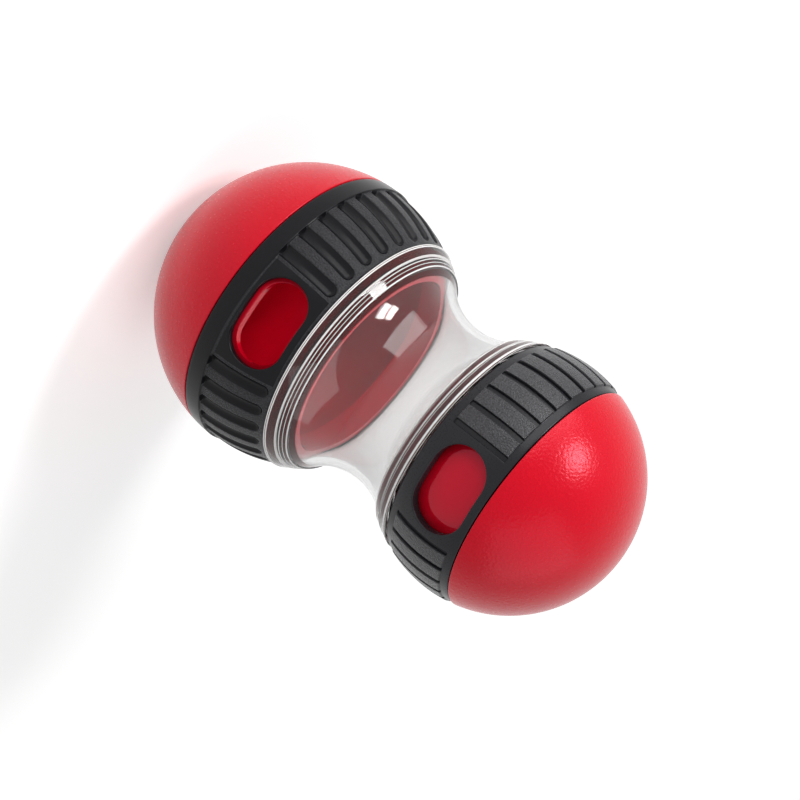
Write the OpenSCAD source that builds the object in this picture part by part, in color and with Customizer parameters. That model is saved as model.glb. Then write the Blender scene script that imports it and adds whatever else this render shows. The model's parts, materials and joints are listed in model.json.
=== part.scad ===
// Wobble treat dispenser: two ball ends joined by a clear hourglass body.
// Each ball end is a screw-on dome with a windowed shutter inside a turning collar.
// All sizes are in millimetres, +Z runs up the axis from the large ball to the small one.

/* [Ball ends] */
// Outside radius of the large, weighted ball
large_ball_r = 48; // [46.5:0.5:50]
// Outside radius of the small ball
small_ball_r = 41.4; // [40.4:0.2:43]
// Distance between the two ball centres
ball_spacing = 84.5; // [82.5:0.5:90]
// Wall of the two outer domes
dome_wall = 2.8; // [2.4:0.1:3.2]
// Radius of the flat that the large dome stands on
foot_r = 10; // [6:0.5:13]

/* [Clear body] */
// Radius of the hollow curve of the waist
waist_curve_r = 24.5; // [23:0.5:27]
// Step from the end of each rim in to the waist
waist_step = 0.45; // [0.2:0.05:0.8]
// Wall of the clear body at the waist
clear_wall = 2.4; // [1.8:0.1:2.8]
// Width of the clear rim beside the large collar
large_rim_w = 6.4; // [6.2:0.1:7.4]
// Width of the clear rim beside the small collar
small_rim_w = 6.9; // [6.4:0.1:7.8]
// Depth of the fine line turned into each rim
rim_line_d = 0.5; // [0.2:0.1:0.8]

/* [Collars] */
// Height of the large collar's dome edge below its ball centre
large_seam = 5.8; // [4.5:0.1:7]
// Height of the large collar's body edge above its ball centre
large_mouth = 22.6; // [21.8:0.1:23.4]
// Wall of the large collar
large_collar_wall = 3.0; // [2.6:0.1:3.4]
// Height of the small collar's dome edge beyond its ball centre
small_seam = 11.5; // [10.5:0.1:12.2]
// Height of the small collar's body edge before its ball centre
small_mouth = 14.8; // [14:0.1:15.6]
// Wall of the small collar
small_collar_wall = 3.9; // [3.6:0.1:4.3]
// Number of rib positions around a collar
rib_count = 36; // [30:1:40]
// Width of the smooth lip on the large collar
large_lip_w = 6.6; // [5.4:0.1:7.2]
// Step from the lip down to the ribs of the large collar
large_lip_step = 0.6; // [0.3:0.1:0.9]
// Width of a round flute between two large ribs
large_flute_w = 4.6; // [3.6:0.1:5]
// Depth of a round flute between two large ribs
large_flute_d = 1.2; // [0.6:0.1:1.4]
// Width of a groove between two small pads
small_groove_w = 1.6; // [1:0.1:2.6]
// Height of the small pads above the collar
small_pad_h = 0.45; // [0.25:0.05:0.7]

/* [Windows] */
// Width of the large window, measured around the ball
large_window_w = 29; // [24:0.5:31]
// Height of the large window
large_window_h = 17; // [13:0.5:17.6]
// Height of the large window's middle above its ball centre
large_window_u = 10.7; // [10.2:0.1:11.2]
// Width of the small window, measured around the ball
small_window_w = 28; // [23:0.5:29.5]
// Height of the small window
small_window_h = 17.6; // [13:0.2:18]
// Height of the small window's middle before its ball centre
small_window_u = 0.4; // [0:0.1:0.8]
// Step from a collar's window in to the edge of the shutter's window
shutter_inset = 1.2; // [0.4:0.1:1.8]
// Turn of a collar between open and shut
shutter_turn = 60; // [56:1:70]
// Angle of the small window from the large one
small_window_lead = 8.5; // [0:0.5:20]

/* [Screw ends] */
// Width of the soft ring round the large end's spigot
large_seal_w = 3.7; // [3.5:0.1:4.7]
// Width of the soft ring round the small end's spigot
small_seal_w = 3.25; // [3.05:0.05:3.85]
// Travel of a ball end in one full turn
screw_lead = 18; // [16:1:20]
// Reach of a screw lug from its wall
lug_reach = 1.4; // [1.1:0.1:1.5]
// Thickness of a screw lug
lug_t = 1.6; // [1.3:0.1:1.7]
// Length of a screw lug
lug_len = 14; // [11:0.5:15]
// Thickness of the soft ring in each screw joint
seal_t = 1.5; // [1.2:0.1:1.8]

/* [Weight and fasteners] */
// Height of the weight
weight_h = 18; // [15:0.5:19.5]
// Radius of the circle of screws in the large ball
large_screw_circle = 26; // [23:0.5:28]
// Radius of the circle of screws in the small ball
small_screw_circle = 20; // [17:0.5:22]
// Radius of a screw's shank
screw_r = 1.4; // [1.1:0.1:1.6]

/* [Fits] */
// Gap between a moving face and its neighbour
run_gap = 0.35; // [0.3:0.05:0.5]
// Gap round a piece that is seated and stays put
seat_gap = 0.3; // [0.2:0.05:0.35]
// Gap each side of the soft ring
seal_gap = 0.05; // [0.03:0.01:0.1]

/* [Hidden] */
$fn = 96;

// Heights of the ball centres, with the foot flat at zero
large_z = sqrt(pow(large_ball_r, 2) - pow(foot_r, 2));
small_z = large_z + ball_spacing;

// Outside radii of the shutters
large_neck_r = large_ball_r - large_collar_wall - run_gap;
small_neck_r = small_ball_r - small_collar_wall - run_gap;

// Outside radii of the screw spigots, inside their soft rings
large_spigot_r = ring_r(large_neck_r + run_gap, large_mouth) - large_seal_w - 2 * seat_gap;
small_spigot_r = ring_r(small_neck_r + run_gap, small_mouth) - small_seal_w - 2 * seat_gap;

// Walls of the shutters
shutter_wall = 2.4;
shelf_t = 1.6;
floor_t = 3;

// Screw joint
screw_starts = 3;
lug_lift = 2.2;
lug_rise = lug_t + seat_gap;
lug_root = 0.5;
spigot_len = 7.2;
spigot_play = 0.4;
rim_lap = 0.25;
rim_line_share = 0.48;

// Fasteners
boss_count = 3;
boss_r = 4;
screw_head_r = 2.8;
screw_head_t = 1.8;
screw_len = 12;
screw_hole_gap = 0.25;
pilot_gap = 0.05;
boss_root = 1;

// Weight, seated in the large dome
weight_r = large_ball_r - dome_wall - seat_gap;
weight_top = weight_r - weight_h;
washer_r = 9;
washer_t = 1.2;

// Stops of the collars
stop_wide = 6;
stop_t = 0.8;
stop_depth = 1.5;
stop_inset = 0.35;
stop_free = 0.25;
stop_free_turn = 0.5;

// Rib layout
rib_pitch = 360 / rib_count;
rib_first = 2;
large_rib_stop = 3.8;
flute_end_share = 0.96;
small_pad_out = 3;
small_pad_in = 3.5;
small_groove_extra = 0.5;

// Colours
red = [0.80, 0.06, 0.10];
gloss_red = [0.70, 0.04, 0.08];
charcoal = [0.17, 0.17, 0.18];
clear = [0.90, 0.92, 0.93, 0.35];
steel = [0.62, 0.63, 0.65];
iron = [0.36, 0.36, 0.38];
soft = [0.25, 0.25, 0.26];

// Large ball's window faces the front; the small collar leads it by a few degrees
front = -90;
boss_turn = front + 180;
small_front = -(front + small_window_lead);

function ring_r(r, u) = sqrt(pow(r, 2) - pow(u, 2));
function shelf_u(mouth) = mouth - seal_t - 2 * seal_gap;
function floor_u(seam) = -seam - floor_t;
function register_r(ball_r, seam) = ring_r(ball_r - dome_wall, floor_u(seam)) - seat_gap;
function stop_r(ball_r, seam) = (ring_r(ball_r - dome_wall, seam) + ring_r(ball_r, seam)) / 2 - stop_inset;
function bore_r(spigot_r) = spigot_r + lug_reach + seat_gap;

// Half outline of a ball between two heights
module ball_band(r, low, high) {
    intersection() {
        circle(r);
        translate([0, low]) square([r, high - low]);
    }
}

// Half outline that is straight below the ball centre and round above it
module neck_band(r, low, high) {
    ball_band(r, 0, high);
    translate([0, low]) square([r, -low]);
}

// Half outline of a ring
module ring_band(inner, outer, low, high) {
    translate([inner, low]) square([outer - inner, high - low]);
}

// Rounded slot that cuts a window through a wall
module window_cut(angle, u, w, h, reach) {
    rotate([0, 0, angle]) translate([0, 0, u]) rotate([0, 90, 0]) {
        translate([-h / 2, -(w - h) / 2, 0]) cube([h, w - h, reach]);
        for (side = [-1, 1]) {
            translate([0, side * (w - h) / 2, 0]) cylinder(d = h, h = reach);
        }
    }
}

// Window of a shutter, a step smaller than its collar's window
module shutter_window(angle, u, w, h, reach) {
    window_cut(angle, u, w - 2 * shutter_inset, h - 2 * shutter_inset, reach);
}

// Groove along a collar, cut to an even depth
module groove_cut(angle, floor_r, top_r, w, low, high) {
    rotate([0, 0, angle]) rotate([90, 0, 0]) linear_extrude(height = w, center = true) difference() {
        translate([0, low]) square([top_r, high - low]);
        circle(floor_r);
    }
}

// Round-bottomed flute along a collar, cut to an even depth, with a ball end at its top
module flute_cut(angle, surface_r, w, d, low, high) {
    flute_r = (w * w / 4 + d * d) / (2 * d);
    path_r = surface_r - d + flute_r;
    end_tilt = asin(high / surface_r);
    rotate([0, 0, angle]) intersection() {
        rotate([90, 0, 0]) union() {
            rotate([0, 0, -end_tilt]) rotate_extrude(angle = 2 * end_tilt) translate([path_r, 0]) circle(flute_r);
            rotate([0, 0, end_tilt]) translate([path_r, 0, 0]) sphere(flute_end_share * flute_r);
        }
        translate([0, -w, low]) cube([2 * surface_r, 2 * w, surface_r]);
    }
}

// One lug of the screw, sloped along its lead
module screw_lug(angle, inner, outer, u) {
    middle = (inner + outer) / 2;
    slope = atan(screw_lead / (2 * PI * middle));
    intersection() {
        rotate_extrude() ring_band(inner, outer, u - 2 * lug_t, u + 2 * lug_t);
        rotate([0, 0, angle]) translate([middle, 0, u]) rotate([slope, 0, 0])
            cube([4 * lug_reach, lug_len, lug_t], center = true);
    }
}

// Female lugs in the clear body's mouth
module mouth_lugs(spigot_r, mouth) {
    for (i = [0 : screw_starts - 1]) {
        screw_lug(i * 360 / screw_starts, spigot_r + seat_gap, bore_r(spigot_r) + lug_root, mouth + lug_lift);
    }
}

// Soft ring between a ball end and the clear body
module seal_ring(spigot_r, neck_r, mouth) {
    outer = ring_r(neck_r + run_gap, mouth) - seat_gap;
    rotate_extrude()
        ring_band(spigot_r + seat_gap, outer, shelf_u(mouth) + seal_gap, mouth - seal_gap);
}

// Inner cup of a ball end: floor, windowed neck, shelf and screw spigot
module shutter(ball_r, neck_r, seam, mouth, spigot_r, screw_circle) {
    shelf = shelf_u(mouth);
    bore = spigot_r - shutter_wall;
    difference() {
        union() {
            rotate_extrude() difference() {
                union() {
                    neck_band(neck_r, -seam, shelf);
                    ring_band(0, register_r(ball_r, seam), floor_u(seam), -seam);
                    ring_band(bore, spigot_r, shelf - shelf_t, shelf + spigot_len);
                }
                neck_band(neck_r - shutter_wall, -seam, shelf - shelf_t);
                ring_band(0, bore, 0, shelf + 2 * spigot_len);
            }
            for (i = [0 : screw_starts - 1]) {
                screw_lug(i * 360 / screw_starts, spigot_r - lug_root, spigot_r + lug_reach,
                    mouth + lug_lift + lug_rise);
            }
        }
        for (i = [0 : boss_count - 1]) {
            rotate([0, 0, boss_turn + i * 360 / boss_count])
                translate([screw_circle, 0, floor_u(seam) - floor_t])
                    cylinder(r = screw_r + screw_hole_gap, h = 3 * floor_t);
        }
        children();
    }
}

// Outer dome with screw bosses and the slot that stops its collar
module dome(ball_r, bottom, seam, screw_circle, slot_start) {
    inner_r = ball_r - dome_wall;
    stop_mid = stop_r(ball_r, seam);
    slot_half = stop_t / 2 + stop_free;
    slot_turn = shutter_turn + stop_wide + 2 * stop_free_turn;
    difference() {
        rotate_extrude() difference() {
            ball_band(ball_r, bottom, -seam);
            ball_band(inner_r, -inner_r, inner_r);
        }
        rotate([0, 0, slot_start - stop_wide / 2 - stop_free_turn]) rotate_extrude(angle = slot_turn)
            ring_band(stop_mid - slot_half, stop_mid + slot_half, -seam - stop_depth - run_gap, 0);
    }
    for (i = [0 : boss_count - 1]) {
        rotate([0, 0, boss_turn + i * 360 / boss_count]) difference() {
            intersection() {
                translate([screw_circle, 0, -ball_r]) cylinder(r = boss_r, h = ball_r + floor_u(seam));
                sphere(ball_r - boss_root);
            }
            translate([screw_circle, 0, floor_u(seam) - screw_len])
                cylinder(r = screw_r + pilot_gap, h = 2 * screw_len);
        }
    }
}

// Plain collar with its stop tab
module collar_shell(ball_r, neck_r, seam, mouth, stop_angle) {
    stop_mid = stop_r(ball_r, seam);
    low = -seam + run_gap;
    rotate_extrude() difference() {
        children();
        neck_band(neck_r + run_gap, -2 * seam, mouth);
    }
    rotate([0, 0, stop_angle - stop_wide / 2]) rotate_extrude(angle = stop_wide)
        ring_band(stop_mid - stop_t / 2, stop_mid + stop_t / 2, -seam - stop_depth, low + stop_t);
}

// Pan-head screws that hold a shutter to its dome
module cup_screws(seam, screw_circle) {
    for (i = [0 : boss_count - 1]) {
        rotate([0, 0, boss_turn + i * 360 / boss_count]) translate([screw_circle, 0, -seam]) {
            cylinder(r = screw_head_r, h = screw_head_t);
            translate([0, 0, -screw_len]) cylinder(r = screw_r, h = screw_len);
        }
    }
}

module at_large() {
    translate([0, 0, large_z]) children();
}

module at_small() {
    translate([0, 0, small_z]) rotate([180, 0, 0]) children();
}

// Half outline of a rim's outside, with its turned line
module rim_band(ball_r, mouth, rim_w) {
    line_u = mouth + rim_line_share * rim_w;
    difference() {
        ball_band(ball_r, mouth, mouth + rim_w);
        translate([ring_r(ball_r, line_u) - rim_line_d, line_u]) square(2 * rim_line_d);
    }
}

// The waist curve passes just inside the ends of both rims
module clear_body() {
    rim_low = large_z + large_mouth + large_rim_w;
    rim_high = small_z - small_mouth - small_rim_w;
    low_r = ring_r(large_ball_r, large_mouth + large_rim_w) - waist_step;
    high_r = ring_r(small_ball_r, small_mouth + small_rim_w) - waist_step;
    chord = norm([low_r - high_r, rim_high - rim_low]);
    bulge = ring_r(waist_curve_r, chord / 2) / chord;
    curve_x = (low_r + high_r) / 2 + bulge * (rim_high - rim_low);
    waist_z = (rim_low + rim_high) / 2 + bulge * (low_r - high_r);
    bore_depth = spigot_len - seal_t + spigot_play;
    bore_low = large_z + large_mouth + bore_depth;
    bore_high = small_z - small_mouth - bore_depth;
    color(clear) {
        rotate_extrude() difference() {
            union() {
                translate([0, large_z]) rim_band(large_ball_r, large_mouth, large_rim_w);
                translate([0, small_z]) mirror([0, 1]) rim_band(small_ball_r, small_mouth, small_rim_w);
                difference() {
                    translate([0, rim_low - rim_lap]) square([curve_x, rim_high - rim_low + 2 * rim_lap]);
                    translate([curve_x, waist_z]) circle(waist_curve_r);
                }
            }
            difference() {
                translate([0, bore_low - rim_lap]) square([curve_x, bore_high - bore_low + 2 * rim_lap]);
                translate([curve_x, waist_z]) circle(waist_curve_r + clear_wall);
            }
            ring_band(0, bore_r(large_spigot_r), large_z, bore_low);
            ring_band(0, bore_r(small_spigot_r), bore_high, small_z);
        }
        at_large() mouth_lugs(large_spigot_r, large_mouth);
        at_small() mouth_lugs(small_spigot_r, small_mouth);
    }
}

module large_seal() {
    color(soft) at_large() seal_ring(large_spigot_r, large_neck_r, large_mouth);
}

module large_dome() {
    inner_r = large_ball_r - dome_wall;
    color(red) at_large() {
        dome(large_ball_r, -large_z, large_seam, large_screw_circle, front + 180);
        difference() {
            translate([0, 0, -inner_r - boss_root / 2])
                cylinder(r = boss_r, h = inner_r + boss_root / 2 - weight_top - seat_gap);
            translate([0, 0, -weight_top - screw_len]) cylinder(r = screw_r + pilot_gap, h = 2 * screw_len);
        }
    }
}

module large_shutter() {
    color(gloss_red) at_large()
        shutter(large_ball_r, large_neck_r, large_seam, large_mouth, large_spigot_r, large_screw_circle)
            shutter_window(front, large_window_u, large_window_w, large_window_h, large_ball_r);
}

module large_screws() {
    color(steel) at_large() cup_screws(large_seam, large_screw_circle);
}

module wobble_weight() {
    color(iron) at_large() difference() {
        rotate_extrude() ball_band(weight_r, -weight_r, -weight_top);
        translate([0, 0, -large_ball_r]) cylinder(r = boss_r + seat_gap, h = large_ball_r);
        for (i = [0 : boss_count - 1]) {
            rotate([0, 0, boss_turn + i * 360 / boss_count]) translate([large_screw_circle, 0, -large_ball_r])
                cylinder(r = boss_r + seat_gap, h = large_ball_r);
        }
    }
}

module weight_washer() {
    color(steel) at_large() translate([0, 0, -weight_top]) difference() {
        cylinder(r = washer_r, h = washer_t);
        translate([0, 0, -washer_t]) cylinder(r = screw_r + screw_hole_gap, h = 3 * washer_t);
    }
}

module weight_screw() {
    color(steel) at_large() translate([0, 0, -weight_top + washer_t]) {
        cylinder(r = screw_head_r, h = screw_head_t);
        translate([0, 0, -screw_len]) cylinder(r = screw_r, h = screw_len);
    }
}

module large_collar() {
    rib_r = large_ball_r - large_lip_step;
    lip_top = large_lip_w - large_seam;
    color(charcoal) at_large() difference() {
        collar_shell(large_ball_r, large_neck_r, large_seam, large_mouth, front + 180) {
            ball_band(large_ball_r, -large_seam + run_gap, lip_top);
            ball_band(rib_r, lip_top, large_mouth - run_gap);
        }
        for (i = [rib_first : rib_count - 1 - rib_first]) {
            flute_cut(front + (i + 0.5) * rib_pitch, rib_r, large_flute_w, large_flute_d,
                lip_top, large_mouth - large_rib_stop);
        }
        window_cut(front, large_window_u, large_window_w, large_window_h, 2 * large_ball_r);
    }
}

module small_seal() {
    color(soft) at_small() seal_ring(small_spigot_r, small_neck_r, small_mouth);
}

module small_dome() {
    color(red) at_small()
        dome(small_ball_r, -small_ball_r, small_seam, small_screw_circle, small_front + 180 - shutter_turn);
}

module small_shutter() {
    color(gloss_red) at_small()
        shutter(small_ball_r, small_neck_r, small_seam, small_mouth, small_spigot_r, small_screw_circle)
            shutter_window(small_front - shutter_turn, small_window_u, small_window_w,
                small_window_h, small_ball_r);
}

module small_screws() {
    color(steel) at_small() cup_screws(small_seam, small_screw_circle);
}

module small_collar() {
    base_r = small_ball_r - small_pad_h;
    pad_low = -small_seam + small_pad_out;
    pad_high = small_mouth - small_pad_in;
    pad_start = (rib_first + 0.5) * rib_pitch;
    color(charcoal) at_small() difference() {
        union() {
            collar_shell(small_ball_r, small_neck_r, small_seam, small_mouth, small_front + 180)
                ball_band(base_r, -small_seam + run_gap, small_mouth - run_gap);
            rotate([0, 0, small_front + pad_start]) rotate_extrude(angle = 360 - 2 * pad_start) difference() {
                ball_band(small_ball_r, pad_low, pad_high);
                ball_band(base_r - small_pad_h, pad_low, pad_high);
            }
        }
        for (i = [rib_first : rib_count - 1 - rib_first]) {
            turn = small_front + (i + 0.5) * rib_pitch;
            groove_cut(turn, base_r - small_groove_extra, small_ball_r + small_pad_h, small_groove_w,
                pad_low, pad_high);
        }
        window_cut(small_front, small_window_u, small_window_w, small_window_h, 2 * small_ball_r);
    }
}

clear_body();
large_seal();
large_dome();
large_shutter();
large_screws();
wobble_weight();
weight_washer();
weight_screw();
large_collar();
small_seal();
small_dome();
small_shutter();
small_screws();
small_collar();
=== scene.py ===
import json
import math

import bmesh
import bpy
from mathutils import Matrix, Vector


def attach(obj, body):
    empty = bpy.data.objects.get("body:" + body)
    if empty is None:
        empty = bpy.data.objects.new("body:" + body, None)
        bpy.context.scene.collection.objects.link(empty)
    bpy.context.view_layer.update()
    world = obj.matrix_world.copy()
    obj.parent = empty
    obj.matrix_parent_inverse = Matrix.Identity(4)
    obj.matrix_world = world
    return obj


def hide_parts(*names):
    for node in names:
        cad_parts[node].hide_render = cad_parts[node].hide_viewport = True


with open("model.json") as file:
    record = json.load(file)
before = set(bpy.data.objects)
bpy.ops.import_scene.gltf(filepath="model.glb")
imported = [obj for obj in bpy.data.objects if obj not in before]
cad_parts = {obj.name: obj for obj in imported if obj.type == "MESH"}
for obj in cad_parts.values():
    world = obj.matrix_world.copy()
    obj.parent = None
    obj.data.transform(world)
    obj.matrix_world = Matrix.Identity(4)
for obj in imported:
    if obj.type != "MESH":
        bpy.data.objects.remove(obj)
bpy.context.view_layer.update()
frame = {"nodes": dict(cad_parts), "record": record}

# Sizes are in millimetres, as in the part's source. A height u runs along the axis from a ball's centre
# towards the clear body, and a turn goes round the axis in degrees.
MM = 0.001
FULL_TURN = 360.0
SPIN_STEPS = 256
# Slack in comparisons, and the distance in metres within which points are joined
TOLERANCE = 1e-6
WELD_M = 1e-7

# Balls, each made of a dome, a collar and one end of the clear body
LARGE_R = 48.0
SMALL_R = 41.4
SPACING = 84.5
FOOT_R = 10.0
LARGE_Z = math.sqrt(LARGE_R ** 2 - FOOT_R ** 2)
SMALL_Z = LARGE_Z + SPACING
LARGE_SEAM = 5.8
LARGE_MOUTH = 22.6
SMALL_SEAM = 11.5
SMALL_MOUTH = 14.8
RUN_GAP = 0.35

# Domes
DOME_WALL = 2.8
DOME_EDGE = 0.35
DOME_OUTER_STEPS = 96
DOME_INNER_STEPS = 64

# Clear body
WAIST_CURVE = 24.5
WAIST_STEP = 0.45
WAIST_STEPS = 56
CLEAR_WALL = 2.4
LARGE_RIM = 6.4
SMALL_RIM = 6.9
RIM_STEPS = 12
LARGE_BORE = 36.3
SMALL_BORE = 32.3
BORE_DEPTH = 6.1
BORE_REACH = 0.01
# Turned line round each rim, which starts at a share of the rim's width
LINE_SHARE = 0.48
LINE_W = 1.0
LINE_D = 0.5
LINE_SLOPE = 0.2
# Fine beads round each rim: height, half width
LARGE_BEADS = [(22.74, 0.13), (23.2, 0.17), (25.7, 0.16), (26.65, 0.18), (27.65, 0.07), (28.65, 0.18)]
SMALL_BEADS = [(14.98, 0.08), (15.95, 0.4), (18.1, 0.1), (19.0, 0.2), (21.3, 0.18)]
BEAD_H = 0.12
BEAD_STEPS = 6
# Material numbers of the faces that are not plain clear plastic
# Faces of the screw seats, which carry painted shade
SEAT_FACES = 1
# Faces of the beads, which carry a painted white highlight
BEAD_FACES = 2

# Collars
LARGE_COLLAR_WALL = 3.0
SMALL_COLLAR_WALL = 3.9
LARGE_FRONT = -90.0
SMALL_FRONT = 81.5
RIB_PITCH = 10.0
FIRST_GROOVE = 25.0
COLLAR_ROUND = 0.4
COLLAR_SHARP = 50.0
# Large collar: a proud lip, then ribs with round-bottomed flutes between them
LIP_TOP = 0.8
LIP_STEP = 0.6
LIP_SLOPE = 0.6
FLUTE_W = 4.6
FLUTE_D = 1.2
FLUTE_R = (FLUTE_W ** 2 / 4 + FLUTE_D ** 2) / (2 * FLUTE_D)
FLUTE_STOP = 3.8
FLUTE_SOFT = 0.15
FLUTE_RISE = 0.4
# Small collar: raised pads that stop short of both ends, with narrow grooves between them
PAD_H = 0.45
PAD_FROM_SEAM = 3.0
PAD_FROM_MOUTH = 3.5
PAD_GAP_HALF = 0.65
PAD_SLOPE = 0.35
PAD_RUN_OUT = 0.15
GROOVE_HALF_W = 0.95
GROOVE_SLOPE = 0.3
GROOVE_D = 0.5
# Window in each collar: width, height, height u of its middle
LARGE_WINDOW = (29.0, 17.0, 10.7)
SMALL_WINDOW = (28.0, 17.6, 0.4)
WINDOW_ROUND = 0.5
# Part of the collar mesh that is fitted to the window: half turn, lowest u, highest u
LARGE_PATCH = (20.9, 1.4, 21.3)
SMALL_PATCH = (22.2, -9.4, 10.6)
PATCH_COLUMNS = 36
# Mesh lines beside a groove's middle, in degrees, and in from each end and from the window's edge
LARGE_NEAR = [0.7, 1.3, 1.8, 2.2, 2.5, 2.66, 2.78, 2.9, 3.02, 3.16, 3.45, 4.0]
SMALL_NEAR = [0.35, 0.75, 0.92, 1.08, 1.24, 1.4, 1.6, 2.0, 2.6]
END_STEPS = [0.0, 0.05, 0.13, 0.25, 0.4]
WINDOW_STEPS = [0.0, 0.05, 0.13, 0.24, 0.38, 0.55, 0.9, 1.5]
WINDOW_SHARE = 0.8
EDGE_HALVINGS = 48
# Radii between which the outside is grained, and the material number of those faces
LARGE_GRAIN = (LARGE_R - 0.75, LARGE_R - 0.45)
SMALL_GRAIN = (SMALL_R - 0.1, SMALL_R + 0.1)
GRAIN_FACES = 1

# Looks of the moulded plastics, with the grain's size and height in millimetres
PLASTICS = {
    "soft_ring": {
        "color": (0.05, 0.05, 0.055), "roughness": 0.6,
        "grain_size": 0.4, "grain_height": 0.01, "spread": 0.1,
    },
    "red_plastic": {
        "color": (0.59, 0.001, 0.012), "roughness": 0.26, "gloss_color": (1.0, 0.3, 0.38),
        "grain_size": 0.8, "grain_height": 0.085, "spread": 0.03, "grain_detail": 0.6,
    },
    "gloss_red_plastic": {
        "color": (0.58, 0.001, 0.014), "roughness": 0.1, "gloss_color": (1.0, 0.3, 0.42),
        "grain_size": 1.5, "grain_height": 0.002, "spread": 0.03,
    },
    "black_plastic": {
        "color": (0.012, 0.012, 0.015), "roughness": 0.28, "specular": 0.21,
        "grain_size": 0.5, "grain_height": 0.025, "spread": 0.15,
    },
    "black_grain": {
        "color": (0.022, 0.022, 0.026), "roughness": 0.25, "specular": 0.4,
        "grain_size": 0.5, "grain_height": 0.26, "spread": 0.9, "speckled": True,
    },
    # Darker copies of black_plastic and black_grain for the large collar: painted shade, as both collars
    # are the same black plastic
    "shaded_black_plastic": {
        "color": (0.005, 0.005, 0.0065), "roughness": 0.24, "specular": 0.15,
        "grain_size": 0.5, "grain_height": 0.02, "spread": 0.15,
    },
    "shaded_black_grain": {
        "color": (0.014, 0.014, 0.017), "roughness": 0.3, "specular": 0.22,
        "grain_size": 0.5, "grain_height": 0.3, "spread": 0.9, "speckled": True,
    },
}
METALS = {
    "steel": {"color": (0.62, 0.63, 0.65), "roughness": 0.3, "grain_size": 0.3},
    "iron": {"color": (0.20, 0.20, 0.21), "roughness": 0.55, "grain_size": 0.8},
}
METAL_GRAIN_H = 0.02
METAL_SPREAD = 0.12
CLOUD_SCALE = 60.0
CLOUD_DETAIL = 4.0
TINT_SPAN = (0.3, 0.7)
GLOSS_SPREAD = 0.12
HAZE_SCALE = 90.0
HAZE_DETAIL = 3.0
BEAD_NOISE_SCALE = 250.0
# Share of the beads' painted white highlight over the see-through part
BEAD_HIGHLIGHT_SHOWN = 0.85
# Materials of each piece that is modelled here, in the order of the material numbers of its faces
PIECE_MATERIALS = {
    "large_dome_shell": ["red_plastic"],
    "small_dome_shell": ["red_plastic"],
    "clear_shell": ["clear_plastic", "seat_painted_shade", "bead_painted_highlight"],
    # The large collar wears the darker copies of the black plastics, which paint shade on it
    "large_collar_grip": ["shaded_black_plastic", "shaded_black_grain"],
    "small_collar_grip": ["black_plastic", "black_grain"],
}

# Camera: picture width, focal length and the spot of the large ball's centre in pixels, distance in metres,
# angles in degrees
PICTURE_PX = 800.0
FOCAL_PX = 2200.0
LARGE_SPOT_PX = (307.7, 315.8)
SENSOR_W = 36.0
CAMERA_AWAY = 0.690
CAMERA_TILT = 20.5
CAMERA_ROLL = 38.85
CAMERA_HEADING = -102.0

# Surroundings and lamps, in metres and watts
FLOOR_HALF = 6.0
FLOOR_DROP = 0.0002
FLOOR_GLOW = {"From Min": 0.2, "From Max": 1.0, "To Min": 0.42, "To Max": 0.76}
WORLD_UNSEEN = 0.25
WORLD_SEEN = 1.0
LAMP_AIM = Vector((0, 0, 0.085))
LAMP_AWAY = 0.9
# Lamps: name, shares of the camera's back, down and right, shift down, width, height, power
LAMPS = [
    ("key_upper", (0.55, -0.22, 0.8), -0.07, 0.24, 0.11, 2.1),
    ("key_lower", (0.55, -0.22, 0.8), 0.07, 0.24, 0.11, 2.1),
    ("side", (0.6, -0.65, 0.45), 0.0, 0.9, 0.4, 3.8),
    ("fill", (0.45, 0.85, 0.25), 0.0, 0.9, 0.9, 2.8),
]


def arc(cx, cz, r, start, end, count):
    """Points along an arc, angles in degrees from +x."""
    step = (end - start) / count
    angles = [math.radians(start + step * i) for i in range(count + 1)]
    return [(cx + r * math.cos(a), cz + r * math.sin(a)) for a in angles]


def smooth(x):
    """Eased step from 0 to 1."""
    x = min(1.0, max(0.0, x))
    return x * x * (3.0 - 2.0 * x)


def edge_drop(distance, radius):
    """How far a rounded edge falls away at a distance from the edge line."""
    if distance >= radius:
        return 0.0
    inside = radius - max(0.0, distance)
    return radius - math.sqrt(radius ** 2 - inside ** 2)


def add_piece(bm, name, body, sharp=40.0):
    """Turns a bmesh into a shaded piece that rides on a CAD body."""
    bmesh.ops.remove_doubles(bm, verts=bm.verts, dist=WELD_M)
    bmesh.ops.recalc_face_normals(bm, faces=bm.faces)
    for face in bm.faces:
        face.smooth = True
    for edge in bm.edges:
        if len(edge.link_faces) == 2 and edge.calc_face_angle(0.0) > math.radians(sharp):
            edge.smooth = False
    mesh = bpy.data.meshes.new(name)
    bm.to_mesh(mesh)
    bm.free()
    piece = bpy.data.objects.new(name, mesh)
    bpy.context.scene.collection.objects.link(piece)
    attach(piece, body)
    return piece


def spin_outline(outline, closed):
    """Solid of revolution about Z from a half outline in millimetres."""
    bm = bmesh.new()
    verts = [bm.verts.new((x * MM, 0.0, z * MM)) for x, z in outline]
    pairs = list(zip(verts, verts[1:]))
    if closed:
        pairs.append((verts[-1], verts[0]))
    edges = [bm.edges.new(pair) for pair in pairs]
    bmesh.ops.spin(bm, geom=verts + edges, cent=(0, 0, 0), axis=(0, 0, 1), dvec=(0, 0, 0),
                   angle=2 * math.pi, steps=SPIN_STEPS, use_merge=True, use_duplicate=False)
    bmesh.ops.remove_doubles(bm, verts=bm.verts, dist=WELD_M)
    return bm


def round_edges(bm, width, limit=35.0, segments=3):
    """Rounds every edge sharper than the limit in degrees."""
    bmesh.ops.recalc_face_normals(bm, faces=bm.faces)
    edges = [e for e in bm.edges
             if len(e.link_faces) == 2 and e.calc_face_angle(0.0) > math.radians(limit)]
    bmesh.ops.bevel(bm, geom=edges, offset=width * MM, offset_type="OFFSET", segments=segments,
                    profile=0.5, affect="EDGES", clamp_overlap=True, material=-1)


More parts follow.
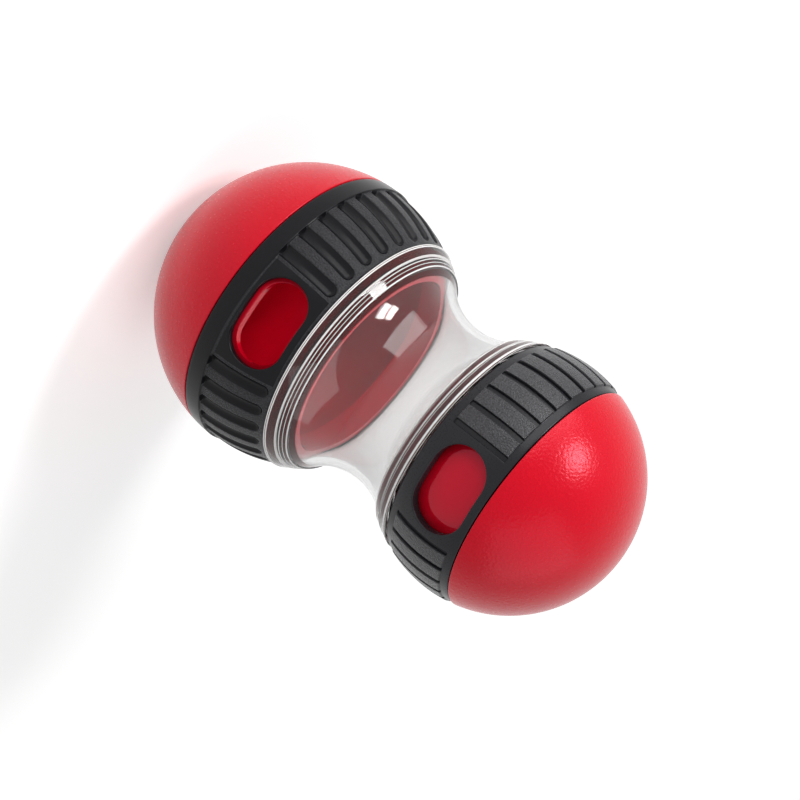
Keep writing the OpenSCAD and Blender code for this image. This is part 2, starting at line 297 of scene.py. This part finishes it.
def make_dome(name, body, ball_r, centre, flip, seam, foot_r):
    """Outer dome shell; flip turns it to face up."""
    inner = ball_r - DOME_WALL
    low = -math.degrees(math.acos(foot_r / ball_r)) if foot_r else -90.0
    rim = -math.degrees(math.asin(seam / ball_r))
    inner_rim = -math.degrees(math.asin(seam / inner))
    outline = [(0.0, -math.sqrt(ball_r ** 2 - foot_r ** 2))] if foot_r else []
    outline += arc(0, 0, ball_r, low, rim, DOME_OUTER_STEPS)
    outline += arc(0, 0, inner, inner_rim, -90.0, DOME_INNER_STEPS)
    side = -1.0 if flip else 1.0
    outline = [(max(0.0, x), centre + side * z) for x, z in outline]
    bm = spin_outline(outline, closed=False)
    round_edges(bm, DOME_EDGE)
    return add_piece(bm, name, body)


def rim_outline(ball_r, mouth, width, beads):
    """Half outline of one beaded rim of the clear body, as radius and height."""
    line = mouth + LINE_SHARE * width
    line_end = line + LINE_W
    spots = [mouth, mouth + width, line, line + LINE_SLOPE, line + (LINE_W - LINE_SLOPE), line_end]
    spots += [mouth + width * i / RIM_STEPS for i in range(1, RIM_STEPS)]
    for middle, half in beads:
        spots += [middle - half * math.cos(math.pi * i / BEAD_STEPS) for i in range(BEAD_STEPS + 1)]
    outline = []
    for u in sorted(set(spots)):
        swell = max(0.0, 1.0 - min(abs(u - middle) / half for middle, half in beads) ** 2)
        groove = smooth((u - line) / LINE_SLOPE) * smooth((line_end - u) / LINE_SLOPE)
        r = math.sqrt(ball_r ** 2 - u ** 2) + BEAD_H * math.sqrt(swell) - LINE_D * groove
        outline.append((r, u))
    return outline


def make_clear_body():
    """Clear hourglass with a beaded rim and a turned line at each mouth."""
    rim_low = LARGE_Z + LARGE_MOUTH + LARGE_RIM
    rim_high = SMALL_Z - SMALL_MOUTH - SMALL_RIM
    low_r = math.sqrt(LARGE_R ** 2 - (LARGE_MOUTH + LARGE_RIM) ** 2) - WAIST_STEP
    high_r = math.sqrt(SMALL_R ** 2 - (SMALL_MOUTH + SMALL_RIM) ** 2) - WAIST_STEP
    chord = math.hypot(low_r - high_r, rim_high - rim_low)
    bulge = math.sqrt(WAIST_CURVE ** 2 - chord ** 2 / 4) / chord
    curve_x = (low_r + high_r) / 2 + bulge * (rim_high - rim_low)
    waist_z = (rim_low + rim_high) / 2 + bulge * (low_r - high_r)
    bore_low = LARGE_Z + LARGE_MOUTH + BORE_DEPTH
    bore_high = SMALL_Z - SMALL_MOUTH - BORE_DEPTH

    def waist(radius, low, high):
        first = 180.0 - math.degrees(math.asin((low - waist_z) / radius))
        last = 180.0 - math.degrees(math.asin((high - waist_z) / radius))
        return arc(curve_x, waist_z, radius, first, last, WAIST_STEPS)

    lower = [(x, LARGE_Z + u) for x, u in rim_outline(LARGE_R, LARGE_MOUTH, LARGE_RIM, LARGE_BEADS)]
    upper = [(x, SMALL_Z - u) for x, u in rim_outline(SMALL_R, SMALL_MOUTH, SMALL_RIM, SMALL_BEADS)]
    outside = lower + waist(WAIST_CURVE, rim_low, rim_high) + upper[::-1]
    inside = waist(WAIST_CURVE + CLEAR_WALL, bore_low, bore_high)
    outline = outside + [(SMALL_BORE, SMALL_Z - SMALL_MOUTH), (SMALL_BORE, bore_high)]
    outline += inside[::-1] + [(LARGE_BORE, bore_low), (LARGE_BORE, LARGE_Z + LARGE_MOUTH)]
    bm = spin_outline(outline, closed=True)
    bead_spans = [(LARGE_Z + middle, half) for middle, half in LARGE_BEADS]
    bead_spans += [(SMALL_Z - middle, half) for middle, half in SMALL_BEADS]
    for face in bm.faces:
        spot = face.calc_center_median() / MM
        r = math.hypot(spot.x, spot.y)
        in_low_bore = spot.z < bore_low + BORE_REACH and r < LARGE_BORE + BORE_REACH
        in_high_bore = spot.z > bore_high - BORE_REACH and r < SMALL_BORE + BORE_REACH
        if in_low_bore or in_high_bore:
            face.material_index = SEAT_FACES
        elif any(abs(spot.z - middle) < half for middle, half in bead_spans):
            face.material_index = BEAD_FACES
    piece = add_piece(bm, "clear_shell", "clear")
    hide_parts("clear_body")


class Collar:
    """Rounded collar mesh with a window, laid out on turns round the axis and heights along it.

    The window faces local +x, and heights run from the dome towards the clear body."""

    def __init__(self, inner_r, ends, surface, grain, columns, rows, window, patch, place):
        self.inner_r = inner_r
        self.low, self.high = ends
        self.surface = surface
        self.grain_low, self.grain_high = grain
        self.columns, self.rows = columns, rows
        self.window_w, self.window_h, self.window_u = window
        self.patch_turn, self.patch_low, self.patch_high = patch
        self.place = place
        self.bm = bmesh.new()

    def outer_r(self, turn, u):
        """Outside radius about the axis, with rounded end edges."""
        from_end = min(u - self.low, self.high - u)
        r = self.surface(turn, u) - edge_drop(from_end, COLLAR_ROUND)
        return math.sqrt(r ** 2 - u ** 2)

    def bore(self, turn, u):
        """Inside radius at any turn: straight on the dome side, round on the other."""
        return math.sqrt(self.inner_r ** 2 - max(0.0, u) ** 2)

    def to_window(self, y, u):
        """Signed distance to the window's edge, positive outside it."""
        half = (self.window_w - self.window_h) / 2
        return math.hypot(max(0.0, abs(y) - half), u - self.window_u) - self.window_h / 2

    def window_edge(self, y, u):
        """Point of the window's edge in the direction of a given point."""
        near, far = 0.0, 1.0
        for _ in range(EDGE_HALVINGS):
            share = (near + far) / 2
            if self.to_window(y * share, self.window_u + (u - self.window_u) * share) < 0:
                near = share
            else:
                far = share
        return y * near, self.window_u + (u - self.window_u) * near

    def in_patch(self, turn):
        """Whether a column is inside the window's patch or on its border."""
        return abs(turn) <= self.patch_turn + TOLERANCE

    def vert(self, x, y, u):
        """New mesh point, put in its place in the part's frame."""
        return self.bm.verts.new([c * MM for c in self.place(x, y, u)])

    def lay_grid(self, radius):
        """Points of one skin row by row, with None inside the window's patch."""
        grid = []
        for u in self.rows:
            line = []
            for turn in self.columns:
                r = radius(turn, u)
                a = math.radians(turn)
                hidden = abs(turn) < self.patch_turn - TOLERANCE and self.patch_low < u < self.patch_high
                line.append(None if hidden else self.vert(r * math.cos(a), r * math.sin(a), u))
            grid.append(line)
        return grid

    def fill_grid(self, grid, outside):
        """Faces of one skin around the window's patch, with the grain on the outside."""
        turns = self.columns
        for k, (lower, upper) in enumerate(zip(grid, grid[1:])):
            patch_row = self.patch_low - TOLERANCE <= self.rows[k] < self.patch_high - TOLERANCE
            for i in range(len(turns)):
                j = (i + 1) % len(turns)
                corners = [lower[i], lower[j], upper[j], upper[i]]
                patch_column = i < j and self.in_patch(turns[i]) and self.in_patch(turns[j])
                if None in corners or (patch_row and patch_column):
                    continue
                face = self.bm.faces.new(corners)
                turn = (turns[i] + turns[j] + (FULL_TURN if j < i else 0.0)) / 2
                r = self.surface(turn, (self.rows[k] + self.rows[k + 1]) / 2)
                if outside and self.grain_low < r < self.grain_high:
                    face.material_index = GRAIN_FACES

    def patch_border(self):
        """Places of the grid around the window's patch, as column and row."""
        inside = [i for i, turn in enumerate(self.columns) if self.in_patch(turn)]
        first, last = min(inside), max(inside)
        bottom = self.rows.index(self.patch_low)
        top = self.rows.index(self.patch_high)
        border = [(i, bottom) for i in range(first, last)]
        border += [(last, k) for k in range(bottom, top)]
        border += [(i, top) for i in range(last, first, -1)]
        border += [(first, k) for k in range(top, bottom, -1)]
        return border

    def fill_patch(self, grid, radius, outside):
        """Faces between the patch's border and the window, whose edge is rounded on the outside."""
        spokes = []
        for i, k in self.patch_border():
            turn, u = self.columns[i], self.rows[k]
            y = radius(turn, u) * math.sin(math.radians(turn))
            edge_y, edge_u = self.window_edge(y, u)
            span = math.hypot(y - edge_y, u - edge_u)
            squeeze = min(1.0, WINDOW_SHARE * span / WINDOW_STEPS[-1])
            spoke = []
            for step in WINDOW_STEPS:
                share = step * squeeze / span
                spot_y = edge_y + (y - edge_y) * share
                spot_u = edge_u + (u - edge_u) * share
                r = radius(0.0, spot_u)
                if outside:
                    r -= edge_drop(self.to_window(spot_y, spot_u), WINDOW_ROUND)
                spoke.append(self.vert(math.sqrt(r ** 2 - spot_y ** 2), spot_y, spot_u))
            spoke.append(grid[k][i])
            spokes.append(spoke)
        for a, b in zip(spokes, spokes[1:] + spokes[:1]):
            for k in range(len(a) - 1):
                self.bm.faces.new([a[k], b[k], b[k + 1], a[k + 1]])
        return [spoke[0] for spoke in spokes]

    def skin(self, radius, outside):
        """One skin of the collar. Returns its two end loops and its window loop."""
        grid = self.lay_grid(radius)
        self.fill_grid(grid, outside)
        window_loop = self.fill_patch(grid, radius, outside)
        return grid[0], grid[-1], window_loop

    def bridge(self, a, b):
        """Faces between two loops of equal length."""
        for i in range(len(a)):
            j = (i + 1) % len(a)
            self.bm.faces.new([a[i], a[j], b[j], b[i]])

    def build(self, name, body, node):
        """Joins the outside and the inside into one piece in place of a CAD node."""
        outer = self.skin(self.outer_r, True)
        inner = self.skin(self.bore, False)
        for a, b in zip(outer, inner):
            self.bridge(a, b)
        piece = add_piece(self.bm, name, body, sharp=COLLAR_SHARP)
        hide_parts(node)


def spaced(low, high, count):
    """Even steps from low up to, but without, high."""
    return [low + (high - low) * i / count for i in range(count)]


def turn_columns(patch_turn, near):
    """Turns round a collar in degrees: even across the window, close at the edges of every groove."""
    turns = [-patch_turn + 2 * patch_turn * i / PATCH_COLUMNS for i in range(PATCH_COLUMNS + 1)]
    beside = sorted([-n for n in near] + [0.0] + near)
    middle = FIRST_GROOVE
    while middle < FULL_TURN - FIRST_GROOVE + TOLERANCE:
        turns += [middle + offset for offset in beside]
        turns.append(middle + RIB_PITCH / 2)
        middle += RIB_PITCH
    return turns[:-1]


def collar_rows(low, high, between):
    """Heights of a collar's mesh, close together at its rounded ends."""
    return [low + step for step in END_STEPS] + between + [high - step for step in END_STEPS[::-1]]


def turned(x, y, turn):
    """Point turned about the axis."""
    a = math.radians(turn)
    return x * math.cos(a) - y * math.sin(a), x * math.sin(a) + y * math.cos(a)


def place_large(x, y, u):
    """From the large collar's own layout to the part's frame."""
    x, y = turned(x, y, LARGE_FRONT)
    return x, y, LARGE_Z + u


def place_small(x, y, u):
    """From the small collar's own layout, which is upside down, to the part's frame."""
    x, y = turned(x, y, SMALL_FRONT)
    return x, -y, SMALL_Z - u


def signed_turn(turn):
    """The same turn, from -180 up to 180 degrees."""
    return (turn + FULL_TURN / 2) % FULL_TURN - FULL_TURN / 2


def nearest_groove(turn):
    """Turn from the nearest groove's middle, or None beside the window."""
    away = abs(signed_turn(turn))
    if away < FIRST_GROOVE - RIB_PITCH / 2:
        return None
    return (away - FIRST_GROOVE + RIB_PITCH / 2) % RIB_PITCH - RIB_PITCH / 2


def large_surface(turn, u):
    """Large collar: proud smooth lip, then a ribbed band cut by round-bottomed flutes."""
    rib_r = LARGE_R - LIP_STEP
    r = LARGE_R - LIP_STEP * smooth((u - LIP_TOP + LIP_SLOPE / 2) / LIP_SLOPE)
    offset = nearest_groove(turn)
    if offset is not None and u > LIP_TOP - FLUTE_RISE / 2:
        across = math.radians(abs(offset)) * math.sqrt(rib_r ** 2 - u ** 2)
        past = (math.asin(u / rib_r) - math.asin((LARGE_MOUTH - FLUTE_STOP) / rib_r)) * rib_r
        away = min(FLUTE_R, math.hypot(across, max(0.0, past)))
        depth = math.sqrt(FLUTE_R ** 2 - away ** 2) - FLUTE_R + FLUTE_D
        depth = (depth + math.hypot(depth, FLUTE_SOFT)) / 2
        r -= depth * smooth((u - LIP_TOP + FLUTE_RISE / 2) / FLUTE_RISE)
    return r


def small_surface(turn, u):
    """Small collar: raised pads with rounded corners, split by narrow grooves."""
    base = SMALL_R - PAD_H
    low, high = -SMALL_SEAM + PAD_FROM_SEAM, SMALL_MOUTH - PAD_FROM_MOUTH
    offset = nearest_groove(turn)
    if offset is None:
        return base
    across = math.radians(abs(offset)) * math.sqrt(SMALL_R ** 2 - u ** 2)
    in_length = min(u - low, high - u) + PAD_RUN_OUT
    pad = smooth(min(across - PAD_GAP_HALF, in_length) / PAD_SLOPE)
    groove = smooth((GROOVE_HALF_W - across) / GROOVE_SLOPE) * smooth(in_length / GROOVE_SLOPE)
    outside_pads = abs(signed_turn(turn)) < FIRST_GROOVE
    return base + (0.0 if outside_pads else PAD_H * pad) - GROOVE_D * groove


def make_collars():
    """Both black collars, with mesh rows close together where the surface bends."""
    ends = (-LARGE_SEAM + RUN_GAP, LARGE_MOUTH - RUN_GAP)
    half_turn, patch_low, patch_high = LARGE_PATCH
    flute_end = LARGE_MOUTH - FLUTE_STOP
    rows = [-4.2, -2.8, -1.4, -0.4, 0.2, 0.45, 0.6, 0.75, 0.9, 1.05, 1.2, patch_low]
    rows += spaced(2.2, 16.6, 14) + spaced(16.6, flute_end, 4) + spaced(flute_end, patch_high, 12)
    rows += [patch_high]
    large = Collar(LARGE_R - LARGE_COLLAR_WALL, ends, large_surface, LARGE_GRAIN,
                   turn_columns(half_turn, LARGE_NEAR), collar_rows(*ends, rows),
                   LARGE_WINDOW, LARGE_PATCH, place_large)
    large.build("large_collar_grip", "large_turner", "large_collar")

    ends = (-SMALL_SEAM + RUN_GAP, SMALL_MOUTH - RUN_GAP)
    half_turn, patch_low, patch_high = SMALL_PATCH
    rows = [-10.1, patch_low, -9.0, -8.75, -8.62, -8.5, -8.38, -8.25, -8.05]
    rows += spaced(-7.6, patch_high, 18)
    rows += [patch_high, 10.95, 11.12, 11.25, 11.37, 11.5, 11.65, 12.0, 13.0]
    small = Collar(SMALL_R - SMALL_COLLAR_WALL, ends, small_surface, SMALL_GRAIN,
                   turn_columns(half_turn, SMALL_NEAR), collar_rows(*ends, rows),
                   SMALL_WINDOW, SMALL_PATCH, place_small)
    small.build("small_collar_grip", "small_turner", "small_collar")


def new_material(name):
    """New material with its nodes, its links and its main shader."""
    material = bpy.data.materials.new(name)
    material.use_nodes = True
    nodes = material.node_tree.nodes
    return material, nodes, material.node_tree.links, nodes["Principled BSDF"]


def new_node(nodes, kind, values):
    """New shader node with the given input values."""
    node = nodes.new(kind)
    for key, value in values.items():
        node.inputs[key].default_value = value
    return node


def object_noise(nodes, links, scale, detail=2.0):
    """Noise that is fixed to the object, from 0 to 1."""
    place = nodes.new("ShaderNodeTexCoord")
    noise = new_node(nodes, "ShaderNodeTexNoise", {"Scale": scale, "Detail": detail})
    links.new(place.outputs["Object"], noise.inputs["Vector"])
    return noise.outputs["Fac"]


def ramp(nodes, links, value, first, last, span=(0.0, 1.0)):
    """Colour that goes from first to last as the value crosses the span."""
    node = nodes.new("ShaderNodeValToRGB")
    stops = node.color_ramp.elements
    stops[0].position, stops[1].position = span
    stops[0].color = (*first, 1.0)
    stops[1].color = (*last, 1.0)
    links.new(value, node.inputs["Fac"])
    return node.outputs["Color"]


def ranged(nodes, links, value, low, high):
    """Value from 0 to 1 carried over to a range."""
    node = new_node(nodes, "ShaderNodeMapRange", {"To Min": low, "To Max": high})
    links.new(value, node.inputs["Value"])
    return node.outputs["Result"]


def bumped(nodes, links, value, strength, height):
    """Normal of a fine relief that follows the value, with its height in millimetres."""
    node = new_node(nodes, "ShaderNodeBump", {"Strength": strength, "Distance": height * MM})
    links.new(value, node.inputs["Height"])
    return node.outputs["Normal"]


def mix_out(nodes, links, first, second):
    """Shows a mix of two shaders. Returns the input for the share of the second."""
    mix = nodes.new("ShaderNodeMixShader")
    links.new(first.outputs["BSDF"], mix.inputs[1])
    links.new(second.outputs["BSDF"], mix.inputs[2])
    links.new(mix.outputs["Shader"], nodes["Material Output"].inputs["Surface"])
    return mix.inputs["Fac"]


def grained(name, color, roughness, grain_size, grain_height, spread, specular=0.5,
            gloss_color=(1.0, 1.0, 1.0), grain_detail=3.0, speckled=False):
    """Moulded plastic: fine grain in the bump, slight unevenness of colour and gloss."""
    material, nodes, links, shader = new_material(name)
    shader.inputs["Specular IOR Level"].default_value = specular
    shader.inputs["Specular Tint"].default_value = (*gloss_color, 1.0)
    grain = object_noise(nodes, links, 1.0 / (grain_size * MM), grain_detail)
    shade = grain if speckled else object_noise(nodes, links, CLOUD_SCALE, CLOUD_DETAIL)
    dark = [c * (1.0 - spread) for c in color]
    light = [min(1.0, c * (1.0 + spread)) for c in color]
    links.new(ramp(nodes, links, shade, dark, light, TINT_SPAN), shader.inputs["Base Color"])
    smoothest = roughness * (1.0 - GLOSS_SPREAD)
    roughest = min(1.0, roughness * (1.0 + GLOSS_SPREAD))
    links.new(ranged(nodes, links, grain, smoothest, roughest), shader.inputs["Roughness"])
    links.new(bumped(nodes, links, grain, 1.0, grain_height), shader.inputs["Normal"])
    return material


def metal(name, color, roughness, grain_size):
    """Plain metal with a fine grain."""
    material = grained(name, color, roughness, grain_size, METAL_GRAIN_H, METAL_SPREAD)
    material.node_tree.nodes["Principled BSDF"].inputs["Metallic"].default_value = 1.0
    return material


def clear_plastic(name):
    """Polished clear plastic that lets light through to the inside, darker where it is seen on edge:
    painted shade at its outline.
    """
    material, nodes, links, shader = new_material(name)
    facing = new_node(nodes, "ShaderNodeLayerWeight", {"Blend": 0.35})
    # Own light grey where it faces the view, painted shade towards the outline
    tint_and_painted_shade = ramp(nodes, links, facing.outputs["Facing"], (0.90, 0.897, 0.893), (0.45, 0.455, 0.46))
    links.new(tint_and_painted_shade, shader.inputs["Base Color"])
    shader.inputs["Transmission Weight"].default_value = 1.0
    shader.inputs["IOR"].default_value = 1.46
    haze = object_noise(nodes, links, HAZE_SCALE, HAZE_DETAIL)
    links.new(ranged(nodes, links, haze, 0.0, 0.05), shader.inputs["Roughness"])
    links.new(bumped(nodes, links, haze, 0.25, 0.02), shader.inputs["Normal"])
    path = nodes.new("ShaderNodeLightPath")
    passing = new_node(nodes, "ShaderNodeBsdfTransparent", {"Color": (0.62, 0.62, 0.62, 1.0)})
    links.new(path.outputs["Is Shadow Ray"], mix_out(nodes, links, shader, passing))
    return material


def bead_painted_highlight(name):
    """Moulded bead of the clear plastic, mostly an opaque near-white that shows as a fine white line: a
    painted highlight.
    """
    material, nodes, links, shader = new_material(name)
    shader.inputs["Base Color"].default_value = (0.94, 0.93, 0.92, 1.0)
    uneven = object_noise(nodes, links, BEAD_NOISE_SCALE)
    links.new(ranged(nodes, links, uneven, 0.15, 0.3), shader.inputs["Roughness"])
    passing = nodes.new("ShaderNodeBsdfTransparent")
    mix_out(nodes, links, passing, shader).default_value = BEAD_HIGHLIGHT_SHOWN
    return material


def seat_painted_shade(name):
    """Screw seat of the clear plastic: it lets through what lies against it, darkened to a dim maroon by
    painted shade that is uneven with the haze noise.
    """
    material, nodes, links, shader = new_material(name)
    nodes.remove(shader)
    passing = nodes.new("ShaderNodeBsdfTransparent")
    haze = object_noise(nodes, links, HAZE_SCALE)
    # Painted shade: a dark reddish filter that darkens the spigot seen through the rim
    tint_and_painted_shade = ramp(nodes, links, haze, (0.28, 0.20, 0.20), (0.38, 0.28, 0.28))
    links.new(tint_and_painted_shade, passing.inputs["Color"])
    links.new(passing.outputs["BSDF"], nodes["Material Output"].inputs["Surface"])
    return material


def make_materials():
    """Every material of the part by name."""
    materials = {
        "clear_plastic": clear_plastic("clear_plastic"),
        "bead_painted_highlight": bead_painted_highlight("bead_painted_highlight"),
        "seat_painted_shade": seat_painted_shade("seat_painted_shade"),
    }
    for name, look in PLASTICS.items():
        materials[name] = grained(name, **look)
    for name, look in METALS.items():
        materials[name] = metal(name, **look)
    return materials


def dress(materials):
    """Gives each CAD node the material of its slot, and each piece modelled here its own materials."""
    slots = {part["node"]: part["material_slot"] for part in frame["record"]["subparts"]}
    for node, obj in frame["nodes"].items():
        obj.data.materials.clear()
        obj.data.materials.append(materials[slots[node]])
    for name, worn in PIECE_MATERIALS.items():
        for material in worn:
            bpy.data.objects[name].data.materials.append(materials[material])


def set_camera():
    """Camera at the photograph's viewing angle, rolled so that the axis runs down to the right."""
    tilt = math.radians(CAMERA_TILT)
    roll = math.radians(CAMERA_ROLL)
    turn = Matrix.Rotation(math.radians(CAMERA_HEADING), 3, "Z")
    right = turn @ Vector((-math.sin(tilt) * math.cos(roll), -math.sin(roll),
                           math.cos(tilt) * math.cos(roll)))
    down = turn @ Vector((-math.sin(tilt) * math.sin(roll), math.cos(roll),
                          math.cos(tilt) * math.sin(roll)))
    back = turn @ Vector((math.cos(tilt), 0.0, math.sin(tilt)))
    shift_x, shift_y = [(spot - PICTURE_PX / 2) * CAMERA_AWAY / FOCAL_PX for spot in LARGE_SPOT_PX]
    eye = Vector((0, 0, LARGE_Z * MM)) + back * CAMERA_AWAY
    eye -= right * shift_x + down * shift_y
    camera = bpy.data.cameras.new("camera")
    camera.sensor_width = SENSOR_W
    camera.lens = FOCAL_PX / PICTURE_PX * SENSOR_W
    camera.clip_start = 0.01
    camera.clip_end = 20.0
    holder = bpy.data.objects.new("camera", camera)
    axes = Matrix((right, -down, back)).transposed().to_4x4()
    axes.translation = eye
    holder.matrix_world = axes
    bpy.context.scene.collection.objects.link(holder)
    bpy.context.scene.camera = holder
    return right, down, back


def seen_rays(nodes, links):
    """Socket that is 1 for rays that see, mirror or look through to the surroundings."""
    path = nodes.new("ShaderNodeLightPath")
    seen = path.outputs["Is Camera Ray"]
    for ray in ("Is Glossy Ray", "Is Transmission Ray"):
        either = nodes.new("ShaderNodeMath")
        either.operation = "MAXIMUM"
        links.new(seen, either.inputs[0])
        links.new(path.outputs[ray], either.inputs[1])
        seen = either.outputs[0]
    return seen


def floor_white(name):
    """Pale floor that takes shadows, lifted to white where it is seen, mirrored or looked through to."""
    material, nodes, links, shader = new_material(name)
    shader.inputs["Base Color"].default_value = (0.92, 0.92, 0.92, 1.0)
    shader.inputs["Roughness"].default_value = 1.0
    shader.inputs["Specular IOR Level"].default_value = 0.0
    place = nodes.new("ShaderNodeTexCoord")
    away = nodes.new("ShaderNodeVectorMath")
    away.operation = "LENGTH"
    links.new(place.outputs["Object"], away.inputs[0])
    glow = new_node(nodes, "ShaderNodeMapRange", FLOOR_GLOW)
    links.new(away.outputs["Value"], glow.inputs["Value"])
    lift = nodes.new("ShaderNodeMath")
    lift.operation = "MULTIPLY"
    links.new(seen_rays(nodes, links), lift.inputs[0])
    links.new(glow.outputs["Result"], lift.inputs[1])
    shader.inputs["Emission Color"].default_value = (1.0, 1.0, 1.0, 1.0)
    links.new(lift.outputs[0], shader.inputs["Emission Strength"])
    return material


def area_light(name, place, width, height, power):
    """Rectangular lamp that looks at the middle of the part."""
    light = bpy.data.lights.new(name, "AREA")
    light.shape = "RECTANGLE"
    light.size = width
    light.size_y = height
    light.energy = power
    holder = bpy.data.objects.new(name, light)
    holder.location = place
    holder.rotation_euler = (LAMP_AIM - place).to_track_quat("-Z", "Y").to_euler()
    bpy.context.scene.collection.objects.link(holder)


def set_stage(right, down, back):
    """White surroundings, pale floor and soft lamps that are placed from the camera."""
    scene = bpy.context.scene
    scene.view_settings.view_transform = "Standard"
    world = bpy.data.worlds.new("surroundings")
    world.use_nodes = True
    nodes, links = world.node_tree.nodes, world.node_tree.links
    background = nodes["Background"]
    background.inputs["Color"].default_value = (1.0, 1.0, 1.0, 1.0)
    level = ranged(nodes, links, seen_rays(nodes, links), WORLD_UNSEEN, WORLD_SEEN)
    links.new(level, background.inputs["Strength"])
    scene.world = world
    bm = bmesh.new()
    bmesh.ops.create_grid(bm, x_segments=1, y_segments=1, size=FLOOR_HALF)
    mesh = bpy.data.meshes.new("floor")
    bm.to_mesh(mesh)
    bm.free()
    floor = bpy.data.objects.new("floor", mesh)
    scene.collection.objects.link(floor)
    floor.location = (0.0, 0.0, -FLOOR_DROP)
    floor.data.materials.append(floor_white("floor"))
    for name, (to_back, to_down, to_right), shift, width, height, power in LAMPS:
        place = LAMP_AIM + (back * to_back + down * to_down + right * to_right) * LAMP_AWAY
        area_light(name, place + down * shift, width, height, power)


dome = make_dome("large_dome_shell", "large_end", LARGE_R, LARGE_Z, False, LARGE_SEAM, FOOT_R)
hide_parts("large_dome")
dome = make_dome("small_dome_shell", "small_end", SMALL_R, SMALL_Z, True, SMALL_SEAM, 0.0)
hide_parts("small_dome")
make_clear_body()
make_collars()
dress(make_materials())
set_stage(*set_camera())
